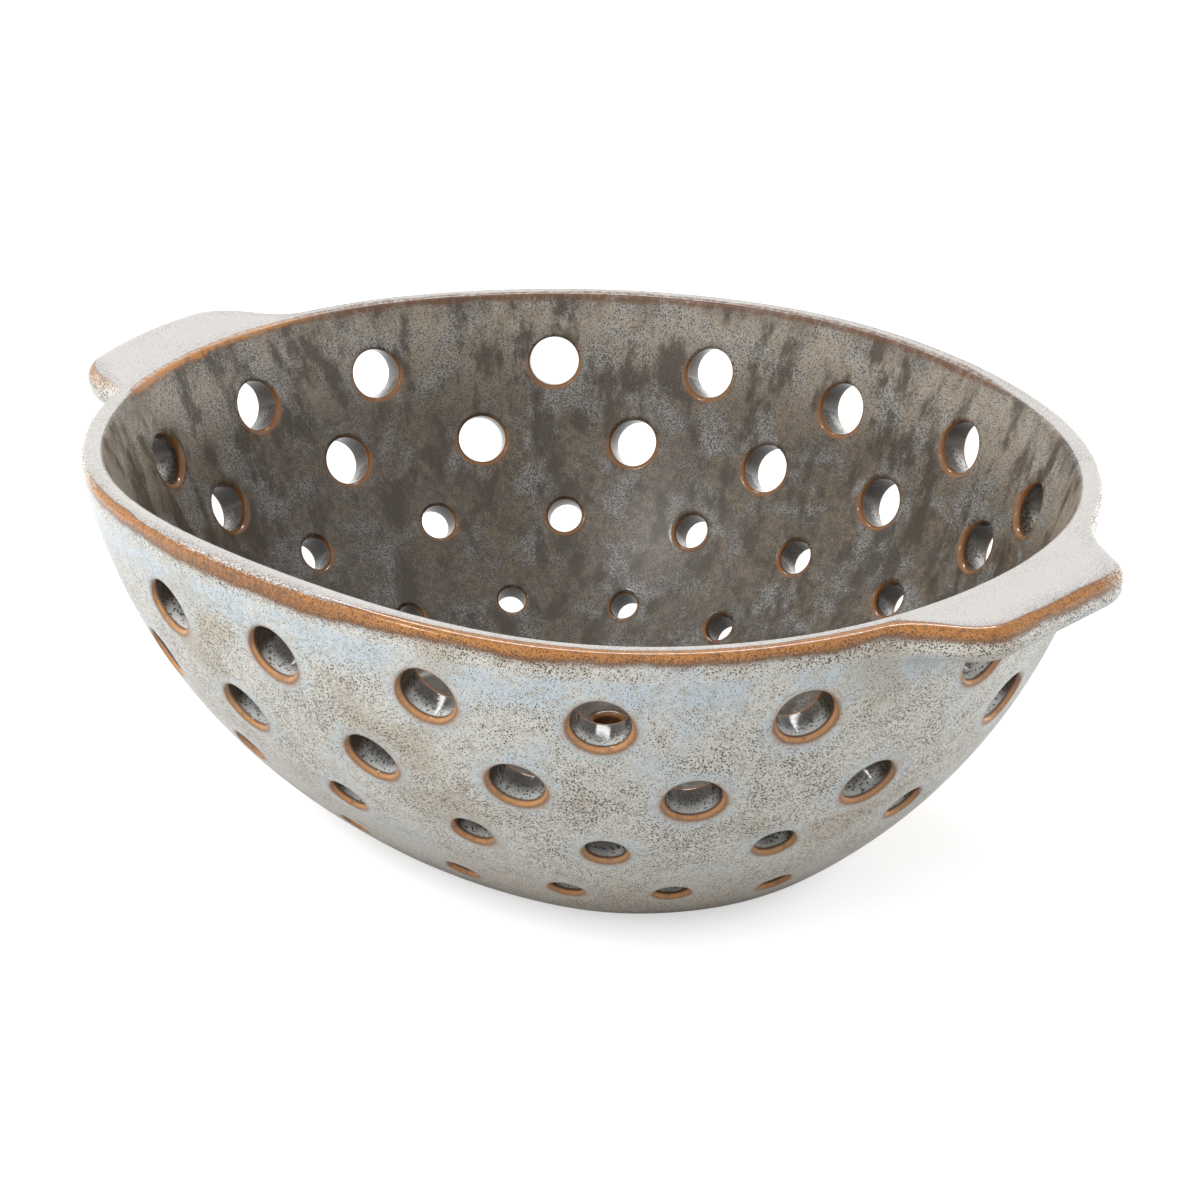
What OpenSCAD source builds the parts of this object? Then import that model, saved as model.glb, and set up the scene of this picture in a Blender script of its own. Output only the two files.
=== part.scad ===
// Oval stoneware colander bowl with two lug handles, on a bare clay foot ring.
// Millimetres, +Z up, origin on the standing surface under the middle of the bowl, lugs along X.

/* [Rim] */
// Length over the rim, without the lugs
rim_l = 220; // [200:1:240]
// Width over the rim
rim_w = 193.6; // [180:0.2:204]
// How much larger the radius of the oval's end arcs is than that of its corner arcs
end_ease = 10; // [6:0.25:16]
// Round on both edges of the rim's flat top
edge_r = 1.2; // [0.6:0.1:2]

/* [Wall] */
// Height of the rim above the table
bowl_h = 83.5; // [76:0.5:90]
// Thickness of the wall
wall_t = 7.8; // [6.5:0.1:9]
// Thickness of the wall at the rim
rim_t = 5; // [4:0.1:6]
// Depth below the rim over which the wall gets its full thickness
flare_h = 18; // [14:0.5:22]
// How far the wall comes in from the rim to the base
base_run = 46.8; // [40:0.1:50]
// Height above the rim of the centre of the wall's upright arc
swell_rise = 17.5; // [12:0.5:24]
// Thickness of the floor
floor_t = 5.5; // [4.5:0.1:7]

/* [Wall holes] */
// Number of holes in each of the four rows
row_count = 16; // [14:1:18]
// Bore of the top row's holes
top_hole_d = 11.5; // [8:0.1:13]
// Bore of the second row's holes
second_hole_d = 11; // [8:0.1:12]
// Bore of the third row's holes
third_hole_d = 8; // [6:0.1:10]
// Bore of the bottom row's holes
bottom_hole_d = 6.5; // [5:0.1:8]
// Depth of the top row below the rim
top_row_drop = 19.3; // [17:0.1:21]
// Height step from one row to the next
row_pitch = 17.1; // [15:0.1:18]

/* [Floor drains] */
// Number of drain holes round the floor's middle one
drain_count = 6; // [4:1:8]
// Bore of a drain hole
drain_d = 6; // [4:0.1:8]
// Radius of the circle that the drain holes stand on
drain_circle_r = 22; // [16:0.5:26]

/* [Lugs] */
// How far a lug stands out past the rim
lug_reach = 12.9; // [9:0.1:16]
// Width of the straight outer edge, corner centre to corner centre
lug_edge_w = 32; // [18:1:36]
// Radius of a lug's two outer corners
lug_corner_r = 7; // [4:0.5:9]
// Thickness of a lug
lug_t = 6; // [4.5:0.1:8]
// Drop of a lug's top below the rim
lug_drop = 1.9; // [1.5:0.1:3]
// Degrees that the pair of lugs is turned off the bowl's long axis
lug_turn = 3; // [0:0.5:6]

/* [Foot] */
// Height of the foot ring
foot_h = 2.5; // [1.5:0.1:4]
// Width of the foot ring's standing face
foot_w = 6; // [4:0.5:8]
// Step in from the wall's lower edge to the foot ring
foot_step = 7; // [5:0.5:9]

/* [Hidden] */
$fn = 144;
// Every cut runs past the faces that it opens by this much
cut_over = 3;

// The rim's oval: arcs at the ends, corners and sides, which meet in these two directions
end_way = [0.96, 0.28];
side_way = [0.28, 0.96];
// Slant of a lug's shoulders from its outer edge back to the rim
shoulder_slant = 35;
// Hand-punched holes: degrees that each hole stands off its even place, top row first
row_drift_degrees = [
    [-1, 0, 1, -1, 0, 1, 2, 5, 2, 0.5, 2, 4, 2.5, 2.5, -0.5, -1.5],
    [-3, 0, -1.5, -1, 0, 1, 2, 1, 2.5, 1, 3, 1.5, 3, 1, -1, -1.5],
    [-2, -1, 0, -1, 0, 0, 1, 0, 1, -1, 1, 1.5, 3.5, 4.5, 0.5, 0],
    [-3, 0, 1, 0, -1, 0, 1, 0, 0, -1, 1, 4, 8, 6, 0, -5]
];
// and the share of a row's step that it stands above or below its row
row_rise_shares = [
    [0.13, 0, -0.05, 0.04, -0.1, 0, 0.02, 0.02, 0, -0.04, 0, -0.04, 0, 0.12, 0.06, 0.05],
    [0.22, -0.05, 0.14, 0, -0.05, 0, 0.03, 0, 0, 0, -0.05, -0.1, -0.06, 0.09, -0.01, -0.2],
    [0.01, 0, 0.03, 0, 0, -0.02, 0, 0, 0, 0.03, 0, -0.1, -0.08, 0.05, 0.04, 0.02],
    [0, 0, 0, 0.02, 0, 0, 0, -0.03, 0, 0, 0, 0, -0.09, 0.08, 0.1, -0.04]
];
row_hole_ds = [top_hole_d, second_hole_d, third_hole_d, bottom_hole_d];

function heading(angle) = [cos(angle), sin(angle)];
// Derived sizes are kept to this grain, so that neighbouring arcs meet exactly
grain = 0.01;
function snap(size) = grain * round(size / grain);

// Arc radii and centres that make the oval rim_l by rim_w, for the first quadrant
ease_grain = 0.25;
ease_more = (rim_l - rim_w) / 2 / (side_way.x - 1 + side_way.y);
side_ease = end_ease + ease_grain * round(ease_more / ease_grain);
corner_r = rim_w / 2 - end_way.y * end_ease - (1 - side_way.y) * side_ease;
arc_rs = [corner_r + end_ease, corner_r, corner_r + side_ease];
side_centre = [0, rim_w / 2 - arc_rs[2]];
corner_centre = side_centre + side_ease * side_way;
end_centre = corner_centre - end_ease * end_way;
arc_centres = [end_centre, corner_centre, side_centre];

// The whole oval as eight arcs: which arc, the signs that mirror it, and its two bounding directions
oval_arcs = [
    [0, [1, 1], [end_way.x, -end_way.y], end_way],
    [1, [1, 1], end_way, side_way],
    [2, [1, 1], side_way, [-side_way.x, side_way.y]],
    [1, [-1, 1], [-side_way.x, side_way.y], [-end_way.x, end_way.y]],
    [0, [-1, 1], [-end_way.x, end_way.y], -end_way],
    [1, [-1, -1], -end_way, -side_way],
    [2, [1, -1], -side_way, [side_way.x, -side_way.y]],
    [1, [1, -1], [side_way.x, -side_way.y], [end_way.x, -end_way.y]]
];

// The wall's upright arc: how far it has come in from the rim at a height, on its outer or inner face
swell_z = bowl_h + swell_rise;
wall_h = bowl_h - foot_h;
swell_in = snap((pow(base_run, 2) + pow(wall_h, 2) + 2 * wall_h * swell_rise) / (2 * base_run));
swell_r = sqrt(pow(swell_in, 2) + pow(swell_rise, 2));
function inset_at(z, skin = 0) = swell_in - sqrt(pow(swell_r - skin, 2) - pow(swell_z - z, 2));
// The inner face runs straight over the flare, and its cut runs past both ends by a share of its run
rim_in = inset_at(bowl_h, rim_t);
flare_in = inset_at(bowl_h - flare_h, wall_t);
flare_over_share = 0.2;
flare_top_in = snap(rim_in - flare_over_share * (flare_in - rim_in));
flare_low_in = snap(flare_in + flare_over_share * (flare_in - rim_in));
flare_top_z = snap(bowl_h + flare_over_share * flare_h);
flare_low_z = snap(bowl_h - flare_h - flare_over_share * flare_h);
flare_lean = atan2(flare_in - rim_in, flare_h);
// Centres of the rounds on the rim's edges, and how far its outer face leans there
outer_lean = asin((swell_rise + edge_r) / (swell_r - edge_r));
outer_edge_in = swell_in - snap((swell_r - edge_r) * cos(outer_lean));
inner_edge_in = snap(rim_in + edge_r * tan(flare_lean) - edge_r / cos(flare_lean));
floor_z = foot_h + floor_t;
floor_inset = snap(inset_at(floor_z, wall_t));
// The wall's profile carries a ledge of the floor, and a flat plate fills the ledge's middle
floor_ledge = 12;
ledge_inset = floor_inset + floor_ledge;
plate_lap_share = 0.75;
// Size of a key inside the foot ring as a share of the ring's own width and height
key_share = 0.5;

// Where a ray from the middle leaves the oval, drawn in by an inset
function reach(arc, inset, way) =
    let (along = arc_centres[arc] * way, r = arc_rs[arc] - inset)
    along + sqrt(r * r - arc_centres[arc] * arc_centres[arc] + along * along);
function seam_angle(arc, inset, way) =
    let (p = arc_centres[arc] + (arc_rs[arc] - inset) * way) atan2(p.y, p.x);
function arc_under(angle, inset) =
    angle < seam_angle(0, inset, end_way) ? 0 : angle < seam_angle(1, inset, side_way) ? 1 : 2;
// Point on the oval at a polar angle, with the heading of its outward normal
function oval_place(angle, inset) =
    let (
        flip = [cos(angle) < 0 ? -1 : 1, sin(angle) < 0 ? -1 : 1],
        way = [abs(cos(angle)), abs(sin(angle))],
        arc = arc_under(atan2(way.y, way.x), inset),
        p = reach(arc, inset, way) * way,
        out = p - arc_centres[arc]
    )
    [p.x * flip.x, p.y * flip.y, atan2(out.y * flip.y, out.x * flip.x)];

// Runs its children once for each arc, at the arc's centre, with $arc_r as its radius at the rim
module at_arcs() {
    for (arc = oval_arcs)
        translate([arc_centres[arc[0]].x * arc[1].x, arc_centres[arc[0]].y * arc[1].y])
            let ($arc_r = arc_rs[arc[0]], $ways = [arc[2], arc[3]])
                children();
}

// The wedge of plan that belongs to an arc, seen from its centre
module arc_wedge() {
    polygon([[0, 0], rim_l * $ways[0], rim_l * $ways[1]]);
}

// Carries a profile round the oval
module round_oval() {
    at_arcs()
        intersection() {
            rotate_extrude()
                children();
            linear_extrude(bowl_h)
                arc_wedge();
        }
}

// Where the seams between the arcs cross the oval, drawn in by an inset
function seam_points(inset) = [for (arc = oval_arcs)
    let (centre = arc_centres[arc[0]])
    [centre.x * arc[1].x, centre.y * arc[1].y] + (arc_rs[arc[0]] - inset) * arc[2]];

// Flat plate of the floor, cornered on the seams
module floor_plate() {
    translate([0, 0, foot_h])
        linear_extrude(floor_t)
            polygon(seam_points(ledge_inset - plate_lap_share * floor_ledge));
}

// Profile of everything inside the wall's outer face, from the floor's ledge outwards
module outer_profile() {
    intersection() {
        translate([$arc_r - swell_in, swell_z])
            circle(swell_r);
        translate([$arc_r - ledge_inset, foot_h])
            square([ledge_inset + cut_over, bowl_h - foot_h]);
    }
}

// Profile of the hollow above the floor: the wall's inner arc, opened out by the flare
module hollow_profile() {
    middle_x = $arc_r - ledge_inset - cut_over;
    intersection() {
        union() {
            translate([$arc_r - swell_in, swell_z])
                circle(swell_r - wall_t);
            polygon([
                [$arc_r - flare_low_in, flare_low_z],
                [$arc_r - flare_top_in, flare_top_z],
                [middle_x, flare_top_z],
                [middle_x, flare_low_z]
            ]);
        }
        translate([middle_x, floor_z])
            square([ledge_inset + cut_over, bowl_h]);
    }
}

// Cut that rounds one edge of the rim; side is 1 for the outer edge and -1 for the inner
module edge_cut(side, centre_in, lean) {
    translate([$arc_r - centre_in, bowl_h - edge_r])
        difference() {
            polygon(2 * edge_r * [[0, 0], [side * cos(lean), -side * sin(lean)], [side * 2, 2], [0, 2]]);
            circle(edge_r);
        }
}

module wall_profile() {
    difference() {
        outer_profile();
        hollow_profile();
        edge_cut(1, outer_edge_in, outer_lean);
        edge_cut(-1, inner_edge_in, flare_lean);
    }
}

// One wall hole, square to the wall at its place
module wall_hole(angle, z, d) {
    place = oval_place(angle, inset_at(z));
    dip = asin((swell_z - z) / swell_r);
    translate([place[0], place[1], z])
        rotate([0, 90 + dip, place[2]])
            translate([0, 0, -wall_t - cut_over])
                cylinder(h = wall_t + 2 * cut_over, d = d);
}

module wall_holes() {
    step = 360 / row_count;
    for (row = [0:len(row_hole_ds) - 1], k = [0:row_count - 1]) {
        even = (k + (row % 2) / 2) * step;
        drift = row_drift_degrees[row][k % len(row_drift_degrees[row])];
        rise = row_pitch * row_rise_shares[row][k % len(row_rise_shares[row])];
        wall_hole(even + drift, bowl_h - top_row_drop - row * row_pitch + rise, row_hole_ds[row]);
    }
}

module floor_drains() {
    places = concat([[0, 0]], [for (k = [0:drain_count - 1]) drain_circle_r * heading(k * 360 / drain_count)]);
    for (place = places)
        translate([place.x, place.y, foot_h - cut_over])
            cylinder(h = floor_t + 2 * cut_over, d = drain_d);
}

// A lug's outline in plan: straight outer edge, round corners, shoulders that flare back to the rim
module lug_outline() {
    corner = [rim_l / 2 + lug_reach - lug_corner_r, lug_edge_w / 2];
    shoulder = corner + lug_corner_r * [sin(shoulder_slant), cos(shoulder_slant)];
    run = (lug_reach + wall_t) / cos(shoulder_slant);
    root = shoulder + run * [-cos(shoulder_slant), sin(shoulder_slant)];
    half = [corner + [lug_corner_r, 0], corner, shoulder, root];
    polygon(concat(half, [for (k = [len(half) - 1:-1:0]) [half[k].x, -half[k].y]]));
    for (side = [-1, 1])
        translate([corner.x, side * corner.y])
            circle(lug_corner_r);
}

module lug() {
    difference() {
        translate([0, 0, bowl_h - lug_drop - lug_t])
            rotate(lug_turn)
                linear_extrude(lug_t)
                    lug_outline();
        round_oval()
            outer_profile();
    }
}

// Perforated bowl, wall and floor in one piece of clay
module bowl_body() {
    color("#a9aaa0")
        difference() {
            union() {
                round_oval()
                    wall_profile();
                floor_plate();
            }
            wall_holes();
            floor_drains();
        }
}

// Keys inside the foot ring, across its seams, that make the arcs one piece
module foot_keys() {
    key_w = key_share * foot_w;
    key_h = key_share * foot_h;
    for (p = seam_points(base_run + foot_step + foot_w / 2))
        translate([p.x - key_w / 2, p.y - key_w / 2, (foot_h - key_h) / 2])
            cube([key_w, key_w, key_h]);
}

// Bare clay ring that the bowl stands on
module foot_ring() {
    color("#b79b7d") {
        round_oval()
            translate([$arc_r - base_run - foot_step - foot_w, 0])
                square([foot_w, foot_h]);
        foot_keys();
    }
}

module left_lug() {
    color("#c9c6bd")
        rotate(180)
            lug();
}

module right_lug() {
    color("#c9c6bd")
        lug();
}

bowl_body();
foot_ring();
left_lug();
right_lug();
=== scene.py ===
import math

import bpy
import numpy as np
from mathutils import Matrix, Vector


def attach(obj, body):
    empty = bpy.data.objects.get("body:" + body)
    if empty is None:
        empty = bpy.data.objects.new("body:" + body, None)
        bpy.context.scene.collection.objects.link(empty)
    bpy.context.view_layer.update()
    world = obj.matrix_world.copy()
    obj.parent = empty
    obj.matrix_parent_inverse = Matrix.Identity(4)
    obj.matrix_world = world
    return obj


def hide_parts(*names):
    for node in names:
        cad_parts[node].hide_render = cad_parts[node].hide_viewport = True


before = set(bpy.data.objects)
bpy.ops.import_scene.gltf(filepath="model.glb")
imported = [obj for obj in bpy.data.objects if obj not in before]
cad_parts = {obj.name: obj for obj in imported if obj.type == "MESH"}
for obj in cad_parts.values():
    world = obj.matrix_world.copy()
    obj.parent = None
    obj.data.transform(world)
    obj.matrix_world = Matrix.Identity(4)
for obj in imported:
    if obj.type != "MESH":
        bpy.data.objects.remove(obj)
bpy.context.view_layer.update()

mm = 0.001  # shapes are worked out in millimetres, as in the part's source
weldsPerMm = 1e4  # points that round to the same of these steps become one vertex
sharpDegrees = 50  # folds sharper than this stay crisp

# The bowl, with the sizes of its solid
bowl = {
    "rimLength": 220.0,
    "rimWidth": 193.6,
    "ovalWaves": (-1.44, 0.33, -0.145),  # the oval's fourth, sixth and eighth waves
    "rimTop": 82.5,  # mean height of the rim, which rises and falls about it
    "rimWaves": (-0.66, -0.95, 0.69),  # its level, second and fourth wave
    "rimRounds": (1.6, 1.2),  # outer and inner edge
    "wall": 7.8,
    "rimWall": 5.0,  # the wall thins to this at the rim
    "flare": 18.0,  # over this depth
    "swell": 125.0,  # radius of the wall's outer arc
    "swellCentre": 101.0,  # height of that arc's centre
    "base": 2.5,
    "baseRound": 3.0,
    "floorTop": 8.0,
    "floorRound": 6.0,
    "columns": 240,  # mesh columns round the oval
}

# The wall's holes, row by row from the top, with the drift of each punched hole
holes = {
    "heights": (64.95, 46.78, 29.93, 12.88),
    "bores": (11.4, 10.9, 7.9, 6.4),
    "lips": (1.3, 1.3, 1.1, 1.0),  # rounding of the outer lip
    "innerLips": (1.0, 1.0, 0.9, 0.8),
    "perRow": 16,
    "pitch": 17.1,  # what the rise shares count in
    "driftDegrees": (
        (-1, 0, 1, -1, 0, 1, 2, 5, 2, 0.5, 2, 4, 2.5, 2.5, -0.5, -1.5),
        (-3, 0, -1.5, -1, 0, 1, 2, 1, 2.5, 1, 3, 1.5, 3, 1, -1, -1.5),
        (-2, -1, 0, -1, 0, 0, 1, 0, 1, -1, 1, 1.5, 3.5, 4.5, 0.5, 0),
        (-3, 0, 1, 0, -1, 0, 1, 0, 0, -1, 1, 4, 8, 6, 0, -5),
    ),
    "riseShares": (
        (0.13, 0, -0.05, 0.04, -0.1, 0, 0.02, 0.02, 0, -0.04, 0, -0.04, 0, 0.12, 0.06, 0.05),
        (0.22, -0.05, 0.14, 0, -0.05, 0, 0.03, 0, 0, 0, -0.05, -0.1, -0.06, 0.09, -0.01, -0.2),
        (0.01, 0, 0.03, 0, 0, -0.02, 0, 0, 0, 0.03, 0, -0.1, -0.08, 0.05, 0.04, 0.02),
        (0, 0, 0, 0.02, 0, 0, 0, -0.03, 0, 0, 0, 0, -0.09, 0.08, 0.1, -0.04),
    ),
    "topBorder": 74.6,  # the cells round the holes fill the wall between these heights
    "baseBorder": 7.5,
    "sideSteps": 9,  # mesh steps up the side of a cell
    "faceShares": (0.0, 0.3, 0.58, 0.8, 0.93),  # mesh rows from a cell's border to the lip
    "lipRows": 6,
    "fitSteps": 7,  # steps that bring a point onto the wall
    "rimOver": 4.0,  # what the rim's top adds to the marks of distance
}

# The floor's drains: one in the middle, and the others in mesh cells between two radii
drains = {
    "count": 6,
    "bore": 6.0,
    "circle": 22.0,  # how far from the middle they stand
    "lip": 1.2,
    "inner": 12.0,
    "outer": 32.0,
    "sideSteps": 6,
    "faceShares": (0.0, 0.4, 0.75),
    "lipRows": 5,
    "flatShares": (0.35, 0.7, 1.0),  # mesh rows of the flat round the cells
}

# Both lugs: turn is the lug's angle round the bowl, edge is how far out the straight edge lies, low and
# high are its ends, slants are the shoulders' angles from the lug's outward axis, corners are the rounds
# between them, bow is how far the edge falls back at bowSpan from its middle, lift is how much it stands
# above the rim, and rounds are the face's upper and lower edge
lugs = {
    "right_lug": {
        "turn": 0.0, "edge": 122.2, "low": -20.2, "high": 21.7,
        "slants": (24.6, 35.0), "corners": (9.5, 9.0), "bow": 0.0, "lift": 0.6,
        "rounds": (2.0, 3.8),
    },
    "left_lug": {
        "turn": 185.0, "edge": 123.6, "low": -16.7, "high": 31.8,
        "slants": (32.0, 12.0), "corners": (14.5, 8.5), "bow": 2.3, "lift": 1.4,
        "rounds": (3.4, 3.8),
    },
}
lugForm = {
    "halfSpan": 36.0,  # degrees of rim on either side of the lug's axis
    "shoulderRun": 60.0,  # how far back the straight shoulders are drawn
    "bowSpan": 20.0,
    "fillet": 6.0,  # how softly the shoulders run into the rim
    "thickness": 7.8,
    "seam": 2.0,  # where the lug's top leaves the rim's top
    "proud": 0.03,  # the lug's skin over the rim's
    "sunk": 0.1,  # how far it sinks where the reach runs out
    "sunkReach": 0.25,
    "settle": 2.5,  # the reach over which the lug's own section sets in
    "tuck": 0.08,  # how deep the sweep under the lug ends in the wall
    "buried": 3.0,  # inset of the section's hidden rows
    "edgeStart": 0.4,  # where the top's distance from the edge counts from
    "topInside": 0.4,  # mark of the top at the seam
    "insideRun": 5.0,  # the run over which that mark grows on the edge
    "sweepRuns": (3.0, 6.0),  # distance marks at the start of the sweep under the lug and along it
    "hiddenRun": 20.0,
    "topShares": (0.0, 0.1, 0.25, 0.45, 0.65, 0.85, 1.0),  # mesh rows from the seam to the edge
    "columns": 200,
}

foot = {"insets": (53.8, 59.8), "height": 2.6, "lowRound": 1.1}

# Marks on the mesh for the glaze, with what they are where a sheet doesn't say. In millimetres: from the
# rim's outer edge, from its inner edge and out from a hole's lip. inside goes from 0 on the outer face to 1
# on the inner one, and lowSide from 0 at the top of a hole to 1 at its bottom
plainMarks = {"edgeRun": 60.0, "innerRun": 60.0, "lipDist": 20.0, "inside": 0.0, "lowSide": 0.5}

halfLength = bowl["rimLength"] / 2
halfWidth = bowl["rimWidth"] / 2
wave4, wave6, wave8 = bowl["ovalWaves"]
ovalWaves = (
    (0, (halfLength + halfWidth) / 2 - wave4 - wave8),
    (2, (halfLength - halfWidth) / 2 - wave6),
    (4, wave4),
    (6, wave6),
    (8, wave8),
)
rimRise = bowl["swellCentre"] - bowl["rimTop"]
swellRun = math.sqrt(bowl["swell"] ** 2 - rimRise ** 2)
innerReach = bowl["swell"] - bowl["wall"]
flareLow = rimRise + bowl["flare"]
flareTopRun = math.sqrt((bowl["swell"] - bowl["rimWall"]) ** 2 - rimRise ** 2)
flareLowRun = math.sqrt(innerReach ** 2 - flareLow ** 2)
flareSlope = (flareTopRun - flareLowRun) / bowl["flare"]
flareDip = math.atan2(flareLow, flareLowRun)
psiStep = 2 * math.pi / bowl["columns"]
psiRound = np.arange(bowl["columns"]) * psiStep


# Support form of the oval: its support h is a sum of even cosine waves of the normal's angle psi,
# and a point lies h less the inset along the normal and h' along the tangent.
def ovalAt(psi, inset):
    support = sum(a * np.cos(n * psi) for n, a in ovalWaves)
    slope = sum(-a * n * np.sin(n * psi) for n, a in ovalWaves)
    out = support - inset
    return out * np.cos(psi) - slope * np.sin(psi), out * np.sin(psi) + slope * np.cos(psi)


# The oval's radius of curvature is h + h'' less the inset.
def ovalBend(psi, inset):
    return sum(a * (1 - n * n) * np.cos(n * psi) for n, a in ovalWaves) - inset


# How far the wall stands in from the oval where its arc dips by that angle, skin deep under its face.
def wallInset(dip, skin=0.0):
    return swellRun - (bowl["swell"] - skin) * np.cos(dip)


def wallHeight(dip, skin=0.0):
    return bowl["swellCentre"] - (bowl["swell"] - skin) * np.sin(dip)


def wallDip(height):
    return np.arcsin((bowl["swellCentre"] - height) / bowl["swell"])


# How deep the inner face lies under the outer one: a straight flare below the rim, then an even wall.
def innerSkin(dip):
    flared = (flareTopRun + flareSlope * rimRise) / (np.cos(dip) + flareSlope * np.sin(dip))
    return bowl["swell"] - np.where(dip < flareDip, flared, innerReach)


# The wall is an arc about a point at swellCentre, carried round the oval.
def wallPoint(psi, dip, inner=False):
    skin = innerSkin(dip) if inner else 0.0
    x, y = ovalAt(psi, wallInset(dip, skin))
    return np.stack([x, y, wallHeight(dip, skin)], -1)


# A profile of insets and heights carried round the oval, one row for each of its points.
def ovalSweep(psi, insets, heights):
    x, y = ovalAt(psi[None, :], np.asarray(insets)[:, None])
    return np.stack([x, y, np.broadcast_to(np.asarray(heights)[:, None], x.shape)], -1)


# The rim rises and falls by waves of the angle round the bowl, and what lies lower follows by its share.
def liftRim(points):
    around = np.arctan2(points[..., 1], points[..., 0])
    level, second, fourth = bowl["rimWaves"]
    rise = level + second * np.cos(2 * around) + fourth * np.cos(4 * around)
    share = (points[..., 2] - bowl["base"]) / (bowl["rimTop"] - bowl["base"])
    lifted = points.copy()
    lifted[..., 2] += share * rise
    return lifted


def runLength(first, second):
    steps = np.hypot(np.diff(first), np.diff(second))
    return np.concatenate([[0.0], np.cumsum(steps)])


# A sheet is a grid of points, closed along its columns, with the marks that the glaze reads.
def makeSheet(points, **marks):
    values = plainMarks | marks
    grid = points.shape[:2]
    return {"points": points, "marks": {mark: np.broadcast_to(values[mark], grid) for mark in plainMarks}}


# Quad i, j joins row i to row i + 1 between column j and the next one round.
def sheetQuads(rows, columns):
    i = np.arange(rows - 1)[:, None] * columns
    j = np.arange(columns)[None, :]
    k = (j + 1) % columns
    return np.stack([i + j, i + k, i + columns + k, i + columns + j], -1).reshape(-1, 4)


# The glaze breaks to amber along the edges, by spans of the angle round the bowl, in degrees: not on the
# outer edge over paleSpans, and on the inner edge over innerSpan, dark but for amberSpan. Each span has
# its start, its end, and how softly it starts and ends
breaksAround = {
    "paleSpans": ((8.5, 62.0, 5.0, 18.0), (178.0, 197.0, 10.0, 5.0), (201.0, 233.0, 5.0, 8.0)),
    "innerSpan": (62.0, 206.0, 18.0, 12.0),
    "amberSpan": (172.0, 205.0, 12.0, 14.0),
    "lowSpan": (254.0, 285.0, 16.0, 18.0),  # where the band on the outer edge hangs low
    "highSpan": (291.0, 352.0, 16.0, 14.0),  # and where it sits high
    "lowBy": 1.7,  # millimetres down the wall
    "highBy": 4.2,  # how far onto the rim's top
}


def spanShare(around, span):
    start, end, startFade, endFade = span
    return np.clip(np.minimum((around - start) / startFade, (end - around) / endFade) + 0.5, 0, 1)


def aroundMarks(points):
    around = np.degrees(np.arctan2(points[:, 1], points[:, 0])) % 360
    pale = sum(spanShare(around, span) for span in breaksAround["paleSpans"])
    inner, amber = (spanShare(around, breaksAround[name]) for name in ("innerSpan", "amberSpan"))
    low, high = (spanShare(around, breaksAround[name]) for name in ("lowSpan", "highSpan"))
    bands = {"bandLow": low * breaksAround["lowBy"], "bandHigh": high * breaksAround["highBy"]}
    return {"breakShare": 1 - pale, "innerShare": inner, "innerTone": amber} | bands


def addObject(name, data):
    made = bpy.data.objects.new(name, data)
    bpy.context.scene.collection.objects.link(made)
    return made


# Joins sheets into one mesh, welds the points that agree, parents the piece to the root body and hides the
# part it stands for.
def makePiece(name, sheets, paint, node, capped=False):
    quads, caps, start = [], [], 0
    for sheet in sheets:
        rows, columns = sheet["points"].shape[:2]
        quads.append(sheetQuads(rows, columns) + start)
        if capped:
            ring = np.arange(columns)
            caps += [start + ring[::-1], start + (rows - 1) * columns + ring]
        start += rows * columns
    points = np.concatenate([sheet["points"].reshape(-1, 3) for sheet in sheets])
    spots = np.round(points * weldsPerMm).astype(np.int64)
    first, which = np.unique(spots, axis=0, return_index=True, return_inverse=True)[1:]
    which = which.ravel()
    faces = which[np.concatenate(quads)].tolist() + [which[cap].tolist() for cap in caps]
    mesh = bpy.data.meshes.new(name)
    mesh.from_pydata((points[first] * mm).tolist(), [], faces)
    marks = {
        mark: np.concatenate([sheet["marks"][mark].ravel() for sheet in sheets])[first]
        for mark in plainMarks
    }
    for mark, values in (marks | aroundMarks(points[first])).items():
        layer = mesh.attributes.new(mark, "FLOAT", "POINT")
        layer.data.foreach_set("value", values.astype(np.float32))
    mesh.shade_smooth()
    mesh.set_sharp_from_angle(angle=math.radians(sharpDegrees))
    mesh.materials.append(paint)
    piece = addObject(name, mesh)
    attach(piece, "root")
    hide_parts(node)
    print(f"{name}: {len(first)} points, {sum(len(f) - 2 for f in faces)} triangles")


# A material that starts with an empty node tree.
def startPaint(name):
    paint = bpy.data.materials.new(name)
    paint.use_nodes = True
    paint.node_tree.nodes.clear()
    return paint, paint.node_tree


# Shader nodes: inputs that are sockets are linked, and the others are set.
def addNode(tree, kind, inputs=None, **settings):
    made = tree.nodes.new("ShaderNode" + kind)
    for name, value in settings.items():
        setattr(made, name, value)
    for key, value in (inputs or {}).items():
        if isinstance(value, bpy.types.NodeSocket):
            tree.links.new(value, made.inputs[key])
        else:
            made.inputs[key].default_value = value
    return made


def addMath(tree, operation, first, second=0.0):
    return addNode(tree, "Math", {0: first, 1: second}, operation=operation).outputs[0]


# Eases from one value to another as the input goes from low to high.
def addEase(tree, value, low, high, start=0.0, end=1.0):
    inputs = {"Value": value, "From Min": low, "From Max": high, "To Min": start, "To Max": end}
    return addNode(tree, "MapRange", inputs, interpolation_type="SMOOTHSTEP").outputs[0]


def addNoise(tree, place, scale, detail=2.0, roughness=0.5):
    inputs = {"Vector": place, "Scale": scale, "Detail": detail, "Roughness": roughness}
    return addNode(tree, "TexNoise", inputs).outputs["Fac"]


def addBlend(tree, share, first, second):
    inputs = {0: share, 6: first, 7: second}
    return addNode(tree, "Mix", inputs, data_type="RGBA").outputs[2]


def addMark(tree, name):
    return addNode(tree, "Attribute", attribute_name=name).outputs["Fac"]


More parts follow.
